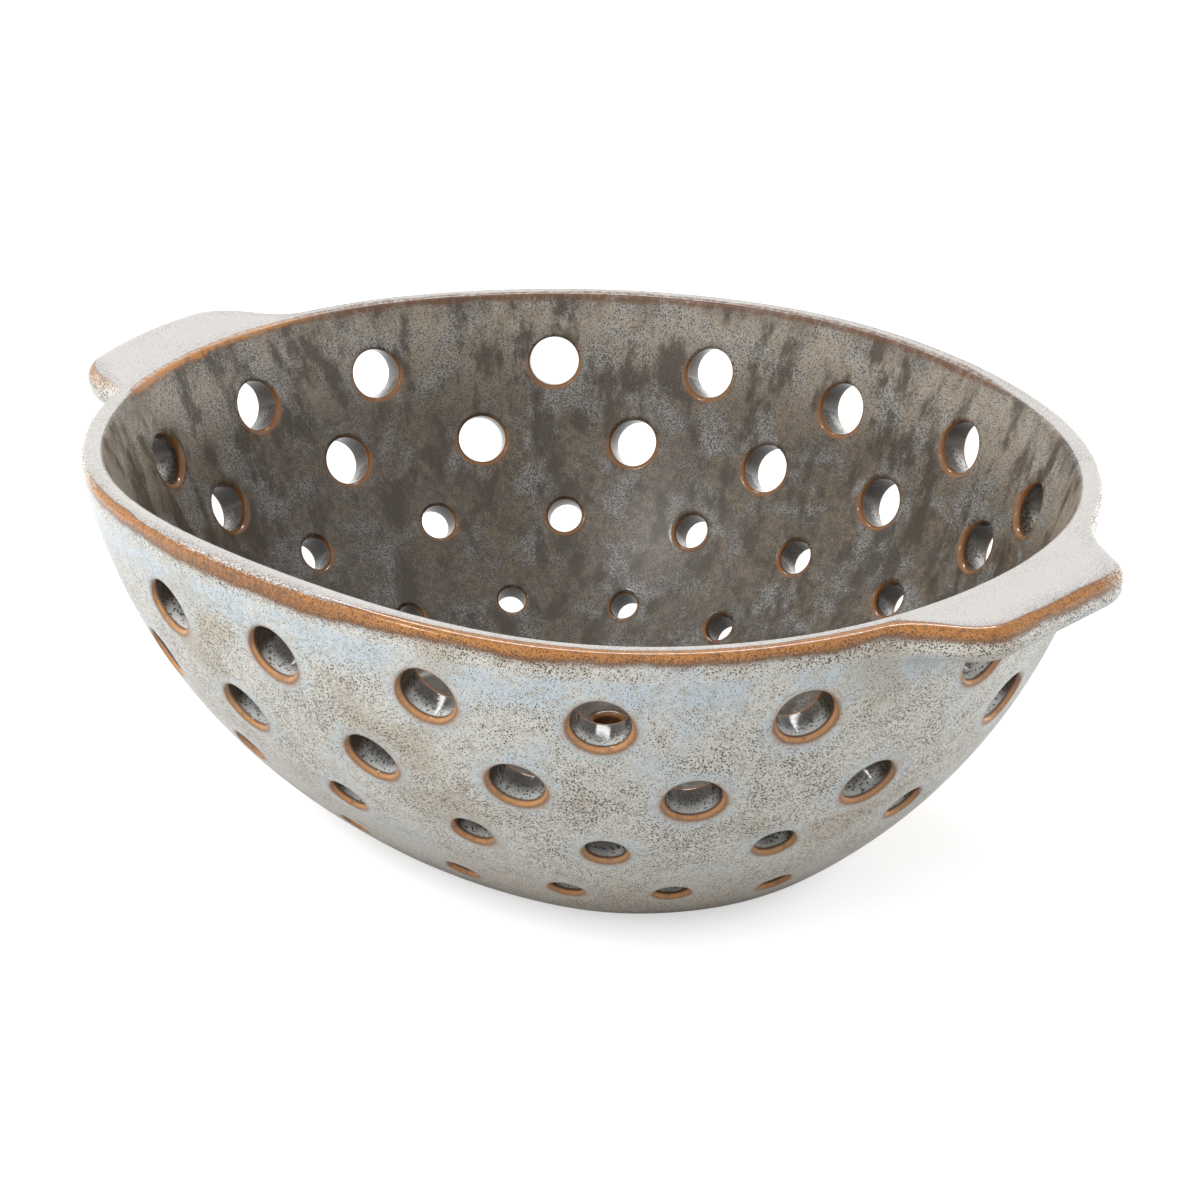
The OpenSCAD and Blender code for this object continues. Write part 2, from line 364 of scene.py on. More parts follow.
glaze = {
    "mist": (0.64, 0.635, 0.59, 1),  # pale ground
    "frost": (0.52, 0.60, 0.65, 1),  # bluer where it pools below the rim and round the holes
    "sand": (0.45, 0.385, 0.29, 1),  # where it lies thin
    "umber": (0.20, 0.15, 0.085, 1),  # fine grain
    "fleck": (0.055, 0.04, 0.022, 1),  # dark specks
    "amber": (0.39, 0.15, 0.02, 1),  # break along the edges
    "honey": (0.46, 0.195, 0.042, 1),  # and on the lips of the holes
    "rust": (0.10, 0.038, 0.012, 1),  # its dark border
    "blush": (0.43, 0.29, 0.19, 1),  # warm haze round the lips
    "crown": (0.475, 0.455, 0.435, 1),  # tops of the rim and the lugs
    "well": (0.28, 0.245, 0.2, 1),  # inside the bowl
    "deepShade": (0.055, 0.042, 0.032, 1),  # painted shade further down it
    "haze": (0.27, 0.285, 0.285, 1),  # bluish patches inside
    "wellFleck": (0.03, 0.021, 0.013, 1),
    "pearl": (0.50, 0.51, 0.49, 1),  # in the bores
    "shadeAndRuns": (0.035, 0.024, 0.014, 1),  # painted shade in their upper and inner parts, and the dark runs inside the bowl
    "grainScale": 2700.0,
    "speckScale": 2300.0,
    "blotchScale": 1900.0,  # in the bores
    "streakScale": 800.0,  # in the breaks
    "mottleScale": 600.0,
    "runScale": 150.0,  # inside the bowl
    "cloudScale": 104.0,
    "wanderScale": 90.0,  # how the breaks stray
    "patchScale": 40.0,
    "drawn": (1.0, 1.0, 0.35),  # streaks and runs are drawn out upright
    "bump": (0.1, 0.0006),  # strength and depth
}


def makeGlaze():
    paint, tree = startPaint("speckledGlaze")
    place = addNode(tree, "TexCoord").outputs["Object"]
    edgeRun, innerRun, lipDist, inside, lowSide = (addMark(tree, name) for name in plainMarks)
    aroundNames = ("breakShare", "innerShare", "innerTone", "bandLow", "bandHigh")
    breaks, innerShare, innerTone, bandLow, bandHigh = (addMark(tree, name) for name in aroundNames)

    def times(first, second):
        return addMath(tree, "MULTIPLY", first, second)

    def plus(first, second):
        return addMath(tree, "ADD", first, second)

    def less(first, second):
        return addMath(tree, "SUBTRACT", first, second)

    def most(first, second):
        return addMath(tree, "MAXIMUM", first, second)

    def ease(value, low, high, start=0.0, end=1.0):
        return addEase(tree, value, low, high, start, end)

    def blend(share, first, second):
        return addBlend(tree, share, first, second)

    grain = addNoise(tree, place, glaze["grainScale"], 1.0)
    mottle = addNoise(tree, place, glaze["mottleScale"], 2.0)
    patch = addNoise(tree, place, glaze["patchScale"], 3.0, 0.55)
    cloud = addNoise(tree, place, glaze["cloudScale"], 3.0, 0.6)
    wander = addNoise(tree, place, glaze["wanderScale"], 3.0, 0.6)
    blotch = addNoise(tree, place, glaze["blotchScale"], 1.0)
    drawn = addNode(tree, "Mapping", {"Vector": place, "Scale": glaze["drawn"]}).outputs[0]
    streak = addNoise(tree, drawn, glaze["streakScale"], 3.0, 0.6)
    runs = addNoise(tree, drawn, glaze["runScale"], 4.0, 0.65)
    cells = addNode(tree, "TexVoronoi", {"Vector": place, "Scale": glaze["speckScale"]}).outputs

    # blue pools: a band below the rim, haloes round the holes, and faint patches
    underRim = times(ease(edgeRun, 4.0, 7.0), ease(edgeRun, 10.0, 18.0, 1.0, 0.0))
    halo = ease(lipDist, 0.3, 4.5, 1.0, 0.0)
    pool = times(most(times(underRim, 0.95), times(halo, 0.8)), ease(cloud, 0.3, 0.52))
    pool = most(pool, ease(patch, 0.54, 0.72, 0.0, 0.7))
    thin = most(ease(patch, 0.48, 0.34, 0.0, 0.8), ease(edgeRun, 50.0, 90.0))
    ground = blend(pool, glaze["mist"], glaze["frost"])
    ground = blend(times(thin, 0.75), ground, glaze["sand"])
    ground = blend(ease(mottle, 0.44, 0.64, 0.0, 0.4), ground, glaze["sand"])

    # specks sit in cells: each fills what its own random size allows, more of it where the glaze lies thin
    crowd = plus(ease(cloud, 0.32, 0.66, 0.76, 1.1), times(pool, -0.4))
    size = times(plus(times(cells["Color"], 0.36), 0.19), crowd)
    speck = ease(less(cells["Distance"], size), 0.05, -0.05)
    fine = times(ease(grain, 0.5, 0.66, 0.0, 0.46), crowd)
    colour = blend(fine, ground, glaze["umber"])
    colour = blend(times(speck, 0.94), colour, glaze["fleck"])

    # tops of the rim and the lugs
    farFromHoles = ease(lipDist, 4.0, 8.0)
    onTop = times(ease(inside, 0.05, 0.18), ease(inside, 0.85, 0.98, 1.0, 0.0))
    onTop = times(onTop, farFromHoles)
    crown = blend(plus(times(fine, 0.45), times(speck, 0.32)), glaze["crown"], glaze["fleck"])
    colour = blend(onTop, colour, crown)

    # inside the bowl the specks run together, with painted shade that darkens it further down, and dark
    # runs that start under the edge
    well = blend(ease(innerRun, 6.0, 35.0, 0.0, 0.87), glaze["well"], glaze["deepShade"])
    well = blend(ease(mottle, 0.42, 0.6, 0.0, 0.35), well, glaze["umber"])
    well = blend(ease(cloud, 0.46, 0.66, 0.0, 0.52), well, glaze["haze"])
    underEdge = ease(innerRun, 9.0, 2.0, 0.0, 0.45)
    dark = most(ease(runs, 0.46, 0.63, 0.0, 0.85), times(underEdge, ease(runs, 0.36, 0.56)))
    well = blend(dark, well, glaze["shadeAndRuns"])
    dense = most(ease(less(grain, ease(cloud, 0.3, 0.7, 0.58, 0.5)), 0.0, 0.1), speck)
    well = blend(times(dense, 0.85), well, glaze["wellFleck"])
    colour = blend(ease(inside, 0.85, 1.0), colour, well)

    # bores: pale at the bottom, with painted shade that darkens them above and towards their inner end, and
    # dark blotches that close up inwards
    bore = ease(lipDist, -1.5, -1.9)
    closing = less(plus(times(inside, 0.20), 0.40), times(lowSide, 0.04))
    spots = ease(plus(blotch, closing), 0.97, 1.03)
    # painted shade on each bore's upper side and inner end
    shaded = most(ease(lowSide, 0.99, 0.58, 0.0, 0.97), ease(inside, 0.05, 0.65, 0.0, 0.92))
    boreColour = blend(shaded, glaze["pearl"], glaze["shadeAndRuns"])
    boreColour = blend(times(spots, 0.88), boreColour, glaze["wellFleck"])
    colour = blend(bore, colour, boreColour)

    # the break on the lips: where the glaze runs thin over an edge it shows amber, with a dark border, and
    # with painted shade on its upper side
    stray = less(wander, 0.5)
    fray = less(grain, 0.5)
    lipRun = plus(lipDist, plus(times(stray, 0.7), times(fray, 0.9)))
    lipRun = plus(lipRun, ease(lowSide, 0.75, 0.05, 0.0, 1.0))
    blush = times(ease(lipRun, 1.7, 0.0, 0.0, 0.45), ease(inside, 0.6, 0.2))
    colour = blend(times(blush, ease(lipDist, -1.5, -1.0)), colour, glaze["blush"])
    ring = times(ease(lipDist, -2.15, -1.75), ease(lipRun, -0.45, 0.6, 1.0, 0.0))
    ringDarkAndShade = most(ease(lipDist, -1.2, -1.65), ease(inside, 0.4, 0.9, 0.0, 0.75))
    # painted shade: the ring darkens towards the top of each hole
    ringDarkAndShade = most(ringDarkAndShade, ease(lowSide, 0.6, 0.1, 0.0, 0.75))
    ringDarkAndShade = most(ringDarkAndShade, ease(lipRun, -1.0, -0.2, 0.0, 0.75))
    ringDarkAndShade = most(ringDarkAndShade, ease(streak, 0.5, 0.68, 0.0, 0.55))
    ringColour = blend(ringDarkAndShade, glaze["honey"], glaze["rust"])
    colour = blend(times(ring, 0.9), colour, ringColour)

    # the break along the rim's outer edge, higher or lower by its marks, with dark grain on both sides
    edge = plus(plus(edgeRun, times(inside, 9.0)), plus(times(stray, 3.5), times(fray, 3.5)))
    edge = less(edge, times(bandLow, ease(inside, 0.0, 0.04, 1.0, -2.0)))
    edge = less(edge, times(bandHigh, ease(inside, 0.0, 0.06, -0.12, 1.0)))
    reached = ease(less(plus(edgeRun, times(fray, 1.2)), times(bandLow, 0.45)), -1.2, -0.2)
    band = times(times(ease(edge, 1.9, 3.2, 1.0, 0.0), breaks), reached)
    topRun = plus(plus(edgeRun, times(inside, -60.0)), times(bandHigh, 5.0))
    border = most(ease(edge, 0.7, 2.2), ease(topRun, -4.0, -9.0, 0.0, 0.7))
    border = most(border, ease(streak, 0.5, 0.68, 0.0, 0.75))
    border = most(border, times(bandLow, ease(streak, 0.35, 0.65, 0.08, 0.5)))
    bandColour = blend(times(border, 0.85), glaze["amber"], glaze["rust"])
    colour = blend(times(band, 0.95), colour, bandColour)
    peppered = times(ease(grain, 0.53, 0.62), times(ease(edge, 5.5, 2.5, 0.0, 0.8), breaks))
    peppered = times(peppered, ease(inside, 0.02, 0.0))
    colour = blend(peppered, colour, glaze["rust"])
    dusted = times(ease(plus(edgeRun, times(stray, 3.0)), 4.2, 0.6, 0.0, 0.55), ease(grain, 0.4, 0.62))
    dusted = times(times(dusted, breaks), times(ease(inside, 0.0, 0.03), ease(inside, 0.7, 0.3)))
    colour = blend(dusted, colour, glaze["rust"])

    # and the one along its inner edge
    innerEdge = plus(innerRun, plus(times(stray, 2.5), times(fray, 2.0)))
    innerEdge = plus(innerEdge, ease(innerShare, 0.0, 1.0, 1.7, 0.0))
    innerColour = blend(ease(innerTone, 1.0, 0.0), glaze["amber"], glaze["rust"])
    innerColour = blend(ease(innerEdge, 0.6, 1.6), innerColour, glaze["rust"])
    innerBreak = times(ease(innerEdge, 1.0, 2.0, 0.9, 0.0), ease(streak, 0.62, 0.42, 0.5, 1.0))
    colour = blend(innerBreak, colour, innerColour)

    # a faintly uneven gloss, duller on the specks and inside the bowl
    strength, depth = glaze["bump"]
    height = plus(times(grain, 0.3), cloud)
    bump = addNode(tree, "Bump", {"Strength": strength, "Distance": depth, "Height": height}).outputs[0]
    dull = times(ease(inside, 0.9, 1.0, 0.0, 0.22), ease(lipDist, 0.0, 1.0))
    roughness = plus(ease(speck, 0.0, 1.0, 0.11, 0.2), dull)
    inputs = {"Base Color": colour, "Roughness": roughness, "IOR": 1.5, "Normal": bump}
    shader = addNode(tree, "BsdfPrincipled", inputs).outputs[0]
    addNode(tree, "OutputMaterial", {"Surface": shader})
    return paint


clay = {
    "body": (0.56, 0.43, 0.31, 1),
    "grog": (0.34, 0.24, 0.16, 1),  # coarse grains in it
    "grainScale": 1500.0,
    "toneScale": 60.0,
    "bump": (0.35, 0.0004),  # strength and depth
    "roughness": 0.85,
}


def makeClay():
    paint, tree = startPaint("bareClay")
    place = addNode(tree, "TexCoord").outputs["Object"]
    grog = addNoise(tree, place, clay["grainScale"], 2.0)
    tone = addNoise(tree, place, clay["toneScale"], 3.0)
    grains = addEase(tree, grog, 0.52, 0.68, 0.0, 0.6)
    tones = addEase(tree, tone, 0.3, 0.7, 0.0, 0.25)
    colour = addBlend(tree, addMath(tree, "ADD", grains, tones), clay["body"], clay["grog"])
    strength, depth = clay["bump"]
    bump = addNode(tree, "Bump", {"Strength": strength, "Distance": depth, "Height": grog}).outputs[0]
    inputs = {"Base Color": colour, "Roughness": clay["roughness"], "Normal": bump}
    shader = addNode(tree, "BsdfPrincipled", inputs).outputs[0]
    addNode(tree, "OutputMaterial", {"Surface": shader})
    return paint


glazePaint = makeGlaze()
clayPaint = makeClay()
print("finishes mixed")

# Rim profile as insets and heights: up the outer wall, over the two rounded edges and down the flare
outerRound, innerRound = bowl["rimRounds"]
topDip = wallDip(holes["topBorder"])
outerDip = math.asin((rimRise + outerRound) / (bowl["swell"] - outerRound))
edgeInset = wallInset(outerDip)  # where the outer edge starts to round over
outerMid = edgeInset + outerRound * math.cos(outerDip)
flareLean = math.atan(flareSlope)
innerMid = swellRun - flareTopRun + innerRound * (math.tan(flareLean) - 1 / math.cos(flareLean))
innerDip = math.atan2(
    rimRise + innerRound * (1 - math.sin(flareLean)), swellRun - innerMid - innerRound * math.cos(flareLean)
)
outerDips = np.linspace(topDip, outerDip, 6)
innerDips = np.linspace(innerDip, topDip, 6)
innerSkins = innerSkin(innerDips)
outerArc = np.linspace(-outerDip, math.pi / 2, 8)[1:]
innerArc = np.linspace(math.pi / 2, flareLean, 7)
topInsets = np.linspace(outerMid, innerMid, 5)[1:-1]
rimInsets = np.concatenate([
    wallInset(outerDips),
    outerMid - outerRound * np.cos(outerArc),
    topInsets,
    innerMid + innerRound * np.cos(innerArc),
    wallInset(innerDips, innerSkins)[1:],
])
rimHeights = np.concatenate([
    wallHeight(outerDips),
    bowl["rimTop"] - outerRound + outerRound * np.sin(outerArc),
    np.full_like(topInsets, bowl["rimTop"]),
    bowl["rimTop"] - innerRound + innerRound * np.sin(innerArc),
    wallHeight(innerDips, innerSkins)[1:],
])
rimRun = runLength(rimInsets, rimHeights)
outerRow = len(outerDips) + len(outerArc) // 2  # crests of the two rounded edges
innerRow = len(outerDips) + len(outerArc) + len(topInsets) + len(innerArc) // 2
outerCrest, innerCrest = rimRun[outerRow], rimRun[innerRow]
innerTopRun = rimRun[-1] - innerCrest
rimInside = np.clip((rimRun - outerCrest) / (innerCrest - outerCrest), 0, 1)


# A lug's outline: the straight edge and its two shoulders, with arcs at the corners, run softly into the
# rim. Given the rim's angles psi, returns the outline's points, and their reach out from the rim's along
# the lug's own axis.
def lugOutline(lug, psi):
    turn = math.radians(lug["turn"])
    out, along = np.array([math.cos(turn), math.sin(turn)]), np.array([-math.sin(turn), math.cos(turn)])
    rim = np.stack(ovalAt(psi, edgeInset), -1)
    u, v = rim @ out, rim @ along
    run = lugForm["shoulderRun"]
    spreads = [run * math.tan(math.radians(slant)) for slant in lug["slants"]]
    us, vs = [lug["edge"] - run], [lug["low"] - spreads[0]]
    for side, end, slant, corner in zip((-1, 1), (lug["low"], lug["high"]), lug["slants"], lug["corners"]):
        bend = math.radians(90 - slant)
        back = corner * math.tan(bend / 2)
        arc = np.linspace(0, bend, 16)
        arcU = lug["edge"] - corner * (1 - np.cos(arc))
        arcV = end + side * (-back + corner * np.sin(arc))
        us += list(arcU[::side])
        vs += list(arcV[::side])
    us.append(lug["edge"] - run)
    vs.append(lug["high"] + spreads[1])
    lugU = np.interp(v, vs, us) - lug["bow"] * (v / lugForm["bowSpan"]) ** 2
    near = np.clip(lugForm["fillet"] - np.abs(lugU - u), 0, None) / lugForm["fillet"]
    reach = np.maximum(lugU, u) + near ** 2 * lugForm["fillet"] / 4 - u
    return rim + reach[:, None] * out, reach


def lugAngles(lug):
    span = lugForm["halfSpan"]
    return np.radians(lug["turn"]) + np.radians(np.linspace(-span, span, lugForm["columns"]))


# Distance in plan from points to the outer edge: the two lugs' outlines, and the bare rim between them
edgePsi = np.radians(np.arange(0, 360, 0.5))
isBare = np.ones(len(edgePsi), bool)
for lug in lugs.values():
    fromLug = np.abs((np.degrees(edgePsi) - lug["turn"] + 180) % 360 - 180)
    isBare &= fromLug > lugForm["halfSpan"]
wholeEdge = np.concatenate(
    [lugOutline(lug, lugAngles(lug))[0] for lug in lugs.values()]
    + [np.stack(ovalAt(edgePsi[isBare], edgeInset), -1)]
)


def edgeGap(x, y):
    gaps = np.hypot(x[..., None] - wholeEdge[:, 0], y[..., None] - wholeEdge[:, 1])
    return gaps.min(-1)


rimPoints = ovalSweep(psiRound, rimInsets, rimHeights)
rimEdge = np.broadcast_to(np.abs(rimRun - outerCrest)[:, None], rimPoints.shape[:2]).copy()
onTop = rimInside > 0
crestGap = rimInsets[outerRow] - edgeInset
topGap = edgeGap(rimPoints[onTop][..., 0], rimPoints[onTop][..., 1])
rimEdge[onTop] = np.maximum(rimEdge[onTop], topGap - crestGap)
bowlSheets = [makeSheet(
    rimPoints,
    edgeRun=rimEdge,
    innerRun=np.abs(rimRun - innerCrest)[:, None],
    inside=rimInside[:, None],
)]
print("rim swept")


# Angle psi of the hole that stands at that angle round the bowl, on the wall at that dip
def holePsi(angle, dip):
    fine = np.linspace(-math.pi, 3 * math.pi, 2881)
    x, y = ovalAt(fine, wallInset(dip))
    return np.interp(angle, np.unwrap(np.arctan2(y, x)), fine)


# Where the wall lies over the point x, y of the plane that touches it at the hole's middle:
# steps along the wall by the misfit over its radius of curvature, until it closes.
def wallOver(x, y, psi, dip, middle, across, upward, inner):
    psiAt, dipAt = np.full_like(x, psi), np.full_like(x, dip)
    for step in range(holes["fitSteps"]):
        skin = innerSkin(dipAt) if inner else 0.0
        off = wallPoint(psiAt, dipAt, inner) - middle
        psiAt = psiAt + (x - off @ across) / ovalBend(psiAt, wallInset(dipAt, skin))
        dipAt = dipAt - (y - off @ upward) / (bowl["swell"] - skin)
    return psiAt, dipAt


# Bearings of the points round a cell's border from its middle: even between those of the four corners.
def cellBearings(corners, across, upward, count):
    bearings = np.unwrap(np.arctan2(upward, across))
    places = np.append(corners, count)
    return np.interp(np.arange(count), places, np.append(bearings, bearings[0] + 2 * math.pi))


# One hole and the patch of wall round it: the patch's border shrinks to the lip,
# the lip rounds over into the bore, and the same runs back out on the inner face.
def holeCell(psi, dip, radius, lip, innerLip, first, last, below, above):
    steps = holes["sideSteps"]
    index = np.arange(first, last + 1)
    count = last - first
    bottom, top = below[index % bowl["columns"]], above[index % bowl["columns"]]
    around = np.concatenate([index[:-1], np.full(steps, last), index[:0:-1], np.full(steps, first)])
    borderPsi = around * psiStep
    borderDip = np.concatenate([
        bottom[:-1],
        np.linspace(bottom[-1], top[-1], steps + 1)[:-1],
        top[:0:-1],
        np.linspace(top[0], bottom[0], steps + 1)[:-1],
    ])
    middle = wallPoint(psi, dip)
    outward = np.array([math.cos(dip) * math.cos(psi), math.cos(dip) * math.sin(psi), -math.sin(dip)])
    across = np.array([-math.sin(psi), math.cos(psi), 0])
    upward = np.array([math.sin(dip) * math.cos(psi), math.sin(dip) * math.sin(psi), math.cos(dip)])
    border = wallPoint(borderPsi, borderDip) - middle
    corners = np.array([0, count, count + steps, 2 * count + steps])
    bearing = cellBearings(corners, border[corners] @ across, border[corners] @ upward, len(borderPsi))

    def ringOnWall(size, inner):
        x, y = size * np.cos(bearing), size * np.sin(bearing)
        return wallOver(x, y, psi, dip, middle, across, upward, inner)

    rows, lipDist, inside, run = [], [], [], []
    for inner, rounding, sign in ((False, lip, -1), (True, innerLip, 1)):
        crest = radius + rounding
        crestPsi, crestDip = ringOnWall(crest, inner)
        faceRows, faceLips, faceRuns = [], [], []
        for share in holes["faceShares"]:
            psiAt = borderPsi + share * (crestPsi - borderPsi)
            dipAt = borderDip + share * (crestDip - borderDip)
            point = wallPoint(psiAt, dipAt, inner)
            off = point - middle
            faceRows.append(point)
            faceLips.append(np.hypot(off @ across, off @ upward) - crest)
            faceRuns.append(dipAt)
        for angle in np.linspace(0, math.pi / 2, holes["lipRows"]):
            psiAt, dipAt = ringOnWall(radius + rounding * (1 - math.sin(angle)), inner)
            depth = rounding * (1 - math.cos(angle))
            faceRows.append(wallPoint(psiAt, dipAt, inner) + sign * depth * outward)
            faceLips.append(np.full_like(bearing, -rounding * angle))
            faceRuns.append(dipAt)
        order = -sign
        rows += faceRows[::order]
        lipDist += faceLips[::order]
        topRun, bend = (innerTopRun, innerReach) if inner else (outerCrest, bowl["swell"])
        run += [topRun + bend * (dips - topDip) for dips in faceRuns[::order]]
        inside += [np.full_like(bearing, float(inner))] * len(faceRows)
    half = len(rows) // 2  # one more row half way down the bore
    mid = (rows[half - 1] + rows[half]) / 2
    depth = np.linalg.norm(rows[half] - rows[half - 1], axis=-1) / 2
    rows.insert(half, mid)
    lipDist.insert(half, np.minimum(lipDist[half - 1], lipDist[half]) - depth)
    run.insert(half, (run[half - 1] + run[half]) / 2)
    inside.insert(half, np.full_like(bearing, 0.5))
    run, inside = np.stack(run), np.stack(inside)
    return makeSheet(
        np.stack(rows),
        edgeRun=run + holes["rimOver"] * inside,
        innerRun=run + holes["rimOver"],
        lipDist=np.stack(lipDist),
        inside=inside,
        lowSide=0.5 - 0.5 * np.sin(bearing),
    )


# Where every hole stands, then the borders between the rows, which pass half way between their lips
rowPsis, rowDips = [], []
for row in range(len(holes["heights"])):
    rises = np.array(holes["riseShares"][row]) * holes["pitch"]
    dips = wallDip(holes["heights"][row] + rises)
    angles = (np.arange(holes["perRow"]) + (row % 2) / 2) * 2 * math.pi / holes["perRow"]
    angles = angles + np.radians(holes["driftDegrees"][row])
    rowPsis.append(np.array([holePsi(a, d) for a, d in zip(angles, dips)]))
    rowDips.append(dips)
borders = [np.full(bowl["columns"], topDip)]
for row in range(len(rowPsis) - 1):
    upperEdge = rowDips[row] + (holes["bores"][row] / 2 + holes["lips"][row]) / bowl["swell"]
    lowerEdge = rowDips[row + 1] - (holes["bores"][row + 1] / 2 + holes["lips"][row + 1]) / bowl["swell"]
    upperLine = np.interp(psiRound, rowPsis[row], upperEdge, period=2 * math.pi)
    lowerLine = np.interp(psiRound, rowPsis[row + 1], lowerEdge, period=2 * math.pi)
    borders.append((upperLine + lowerLine) / 2)
borders.append(np.full(bowl["columns"], wallDip(holes["baseBorder"])))
for row, (psis, dips) in enumerate(zip(rowPsis, rowDips)):
    following = np.append(psis[1:], psis[0] + 2 * math.pi)
    splits = np.round((psis + following) / 2 / psiStep).astype(int)
    for k in range(holes["perRow"]):
        first = splits[k - 1] - (bowl["columns"] if k == 0 else 0)
        bowlSheets.append(holeCell(
            psis[k], dips[k], holes["bores"][row] / 2, holes["lips"][row], holes["innerLips"][row],
            first, splits[k], borders[row + 1], borders[row],
        ))
print("holes punched")

# Floor profile: the inner wall and a hollow round, down to the flat. Underside: from the flat, a round and
# the outer wall
baseDip = wallDip(holes["baseBorder"])
hollow = bowl["floorRound"]
hollowDip = math.asin((bowl["swellCentre"] - bowl["floorTop"] - hollow) / (innerReach - hollow))
hollowMid = swellRun - (innerReach - hollow) * math.cos(hollowDip)
hollowArc = np.linspace(hollowDip, math.pi / 2, 6)
floorDips = np.linspace(baseDip, hollowDip, 4)[:-1]
floorInsets = np.concatenate([wallInset(floorDips, bowl["wall"]), hollowMid - hollow * np.cos(hollowArc)])
floorHeights = np.concatenate([
    wallHeight(floorDips, bowl["wall"]),
    bowl["floorTop"] + hollow - hollow * np.sin(hollowArc),
])
soft = bowl["baseRound"]
softDip = math.asin((bowl["swellCentre"] - bowl["base"] - soft) / (bowl["swell"] - soft))
softMid = swellRun - (bowl["swell"] - soft) * math.cos(softDip)
softArc = np.linspace(math.pi / 2, softDip, 6)
underDips = np.linspace(softDip, baseDip, 4)[1:]
underInsets = np.concatenate([softMid - soft * np.cos(softArc), wallInset(underDips)])
underHeights = np.concatenate([
    bowl["base"] + soft - soft * np.sin(softArc),
    wallHeight(underDips),
])


# A flat from the oval at one inset to a circle, by shares of the way, at one height
def flatRows(inset, radius, height, shares):
    x, y = ovalAt(psiRound, inset)
    way = np.asarray(shares)[:, None]
    x = x + way * (radius * np.cos(psiRound) - x)
    y = y + way * (radius * np.sin(psiRound) - y)
    return np.stack([x, y, np.full_like(x, height)], -1)


floorPoints = np.concatenate([
    ovalSweep(psiRound, floorInsets, floorHeights),
    flatRows(floorInsets[-1], drains["outer"], bowl["floorTop"], drains["flatShares"]),
])
underPoints = np.concatenate([
    flatRows(underInsets[0], drains["outer"], bowl["base"], drains["flatShares"][::-1]),
    ovalSweep(psiRound, underInsets, underHeights),
])
baseRun = outerCrest + bowl["swell"] * (baseDip - topDip)
bowlSheets.append(makeSheet(floorPoints, edgeRun=baseRun, innerRun=baseRun, inside=1.0))
bowlSheets.append(makeSheet(underPoints, edgeRun=baseRun, innerRun=baseRun))


# A drain in the floor: from a border at floor height the lip rounds over into the bore, and out again
# underneath.
def drainCell(border, middle, bearing):
    radius, lip = drains["bore"] / 2, drains["lip"]
    ring = np.stack([np.cos(bearing), np.sin(bearing)], -1)
    rows, heights, lipDist = [], [], []
    for share in drains["faceShares"]:
        spot = border + share * (middle + (radius + lip) * ring - border)
        rows.append(spot)
        heights.append(0.0)
        lipDist.append(np.linalg.norm(spot - middle, axis=-1) - radius - lip)
    for angle in np.linspace(0, math.pi / 2, drains["lipRows"]):
        rows.append(middle + (radius + lip * (1 - math.sin(angle))) * ring)
        heights.append(lip * (1 - math.cos(angle)))
        lipDist.append(np.full(len(bearing), -lip * angle))
    plan = np.stack(rows + rows[::-1])
    down = np.array(heights)
    levels = np.concatenate([bowl["floorTop"] - down, (bowl["base"] + down)[::-1]])
    points = np.concatenate([plan, np.broadcast_to(levels[:, None, None], plan.shape[:2] + (1,))], -1)
    inside = np.repeat([1.0, 0.0], len(rows))[:, None]
    lips = np.stack(lipDist + lipDist[::-1])
    return makeSheet(points, edgeRun=baseRun, innerRun=baseRun, lipDist=lips, inside=inside)


perDrain = bowl["columns"] // drains["count"]  # mesh columns of each cell
sideSteps = drains["sideSteps"]
for k in range(drains["count"]):
    index = np.arange(perDrain + 1) + k * perDrain - perDrain // 2
    arc = index * psiStep
    sides = np.linspace(drains["outer"], drains["inner"], sideSteps + 1)
    radii = np.concatenate([
        np.full(perDrain, drains["outer"]), sides[:-1], np.full(perDrain, drains["inner"]), sides[:0:-1],
    ])
    turns = np.concatenate([arc[:-1], np.full(sideSteps, arc[-1]), arc[:0:-1], np.full(sideSteps, arc[0])])
    border = np.stack([radii * np.cos(turns), radii * np.sin(turns)], -1)
    turn = k * 2 * math.pi / drains["count"]
    middle = drains["circle"] * np.array([math.cos(turn), math.sin(turn)])
    corners = np.array([0, perDrain, perDrain + sideSteps, 2 * perDrain + sideSteps])
    off = border[corners] - middle
    bearing = cellBearings(corners, off[:, 0], off[:, 1], len(border))
    bowlSheets.append(drainCell(border, middle, bearing))
centreBorder = drains["inner"] * np.stack([np.cos(psiRound), np.sin(psiRound)], -1)
bowlSheets.append(drainCell(centreBorder, np.zeros(2), psiRound))
for sheet in bowlSheets:
    sheet["points"] = liftRim(sheet["points"])
makePiece("bowl", bowlSheets, glazePaint, "bowl_body")


